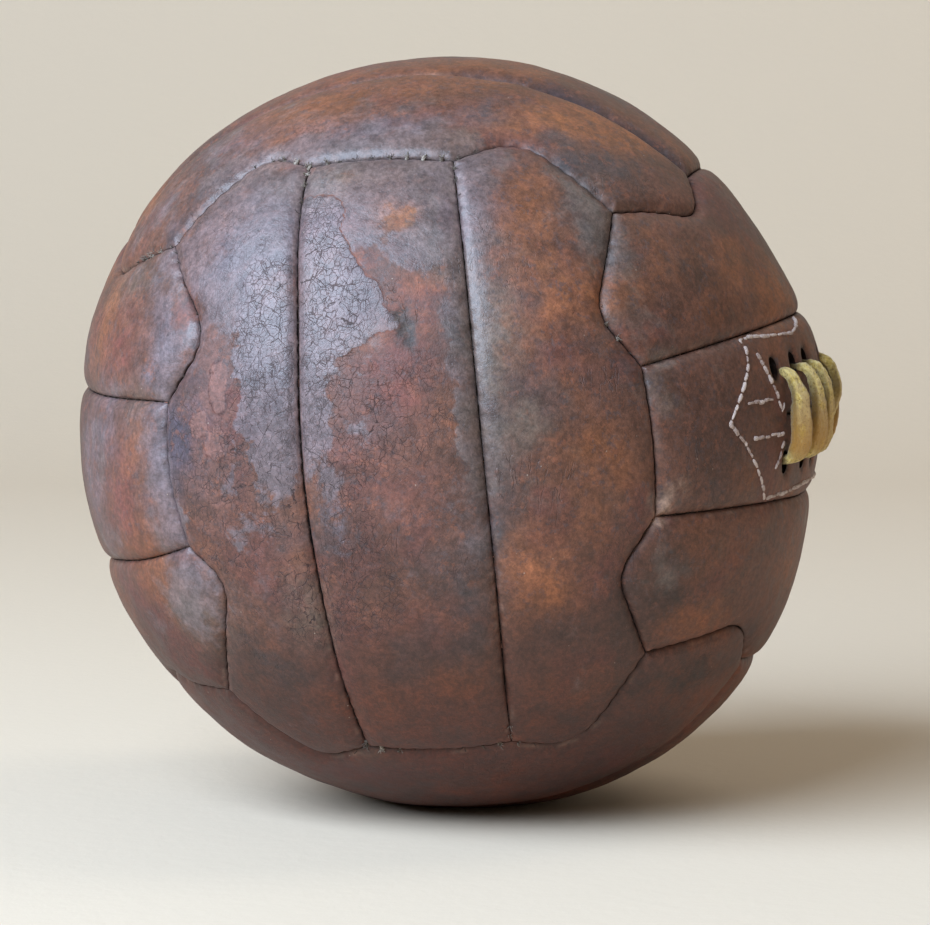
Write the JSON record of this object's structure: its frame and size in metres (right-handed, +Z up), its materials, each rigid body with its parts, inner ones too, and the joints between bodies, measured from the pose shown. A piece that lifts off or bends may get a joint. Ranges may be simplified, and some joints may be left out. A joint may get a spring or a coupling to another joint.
{
  "type": "laced leather football",
  "caption": "Old hand-sewn leather football: crossed groups of long strips, with a laced slit in one strip that closes over a rubber bladder.",
  "frame": {"origin": "centre of the flattened patch that the ball rests on, straight below its centre", "axes": "+Z up as the ball rests; +X out through the lacing, apart from the ball's turn; -Y out through the front group of strips, apart from the same turn"},
  "size_m": [0.2227, 0.2144, 0.2199],
  "materials": {
    "panel_leather": "worn satin, cracked in places",
    "inner_leather": "rough flesh side",
    "seam_thread": "waxed linen",
    "white_thread": "heavy cotton thread",
    "lace_suede": "suede thong",
    "bladder_rubber": "matte"
  },
  "bodies": {
    "root": {"bladder": "bladder_rubber", "lace": "lace_suede", "lacing_panel": "panel_leather", "lining_patch": "inner_leather", "neck_tie": "seam_thread", "panel_back_left": "panel_leather", "panel_back_middle": "panel_leather", "panel_back_right": "panel_leather", "panel_bottom_back": "panel_leather", "panel_bottom_front": "panel_leather", "panel_bottom_middle": "panel_leather", "panel_front_left": "panel_leather", "panel_front_middle": "panel_leather", "panel_front_right": "panel_leather", "panel_left_bottom": "panel_leather", "panel_left_middle": "panel_leather", "panel_left_top": "panel_leather", "panel_right_bottom": "panel_leather", "panel_right_top": "panel_leather", "panel_top_back": "panel_leather", "panel_top_front": "panel_leather", "panel_top_middle": "panel_leather", "patch_stitching": "white_thread", "thread_back_left_to_middle": "seam_thread", "thread_back_right_to_middle": "seam_thread", "thread_back_to_left": "seam_thread", "thread_back_to_right": "seam_thread", "thread_bottom_back_to_middle": "seam_thread", "thread_bottom_front_to_middle": "seam_thread", "thread_bottom_to_back": "seam_thread", "thread_bottom_to_front": "seam_thread", "thread_front_left_to_middle": "seam_thread", "thread_front_right_to_middle": "seam_thread", "thread_front_to_left": "seam_thread", "thread_front_to_right": "seam_thread", "thread_left_bottom_to_middle": "seam_thread", "thread_left_to_bottom": "seam_thread", "thread_left_to_top": "seam_thread", "thread_left_top_to_middle": "seam_thread", "thread_right_bottom_to_middle": "seam_thread", "thread_right_to_bottom": "seam_thread", "thread_right_to_top": "seam_thread", "thread_right_top_to_middle": "seam_thread", "thread_top_back_to_middle": "seam_thread", "thread_top_front_to_middle": "seam_thread", "thread_top_to_back": "seam_thread", "thread_top_to_front": "seam_thread", "tongue": "inner_leather", "tongue_stitch_lower_bar": "white_thread", "tongue_stitch_lower_diagonal": "white_thread", "tongue_stitch_upper_bar": "white_thread", "tongue_stitch_upper_diagonal": "white_thread"}
  },
  "joints": []
}
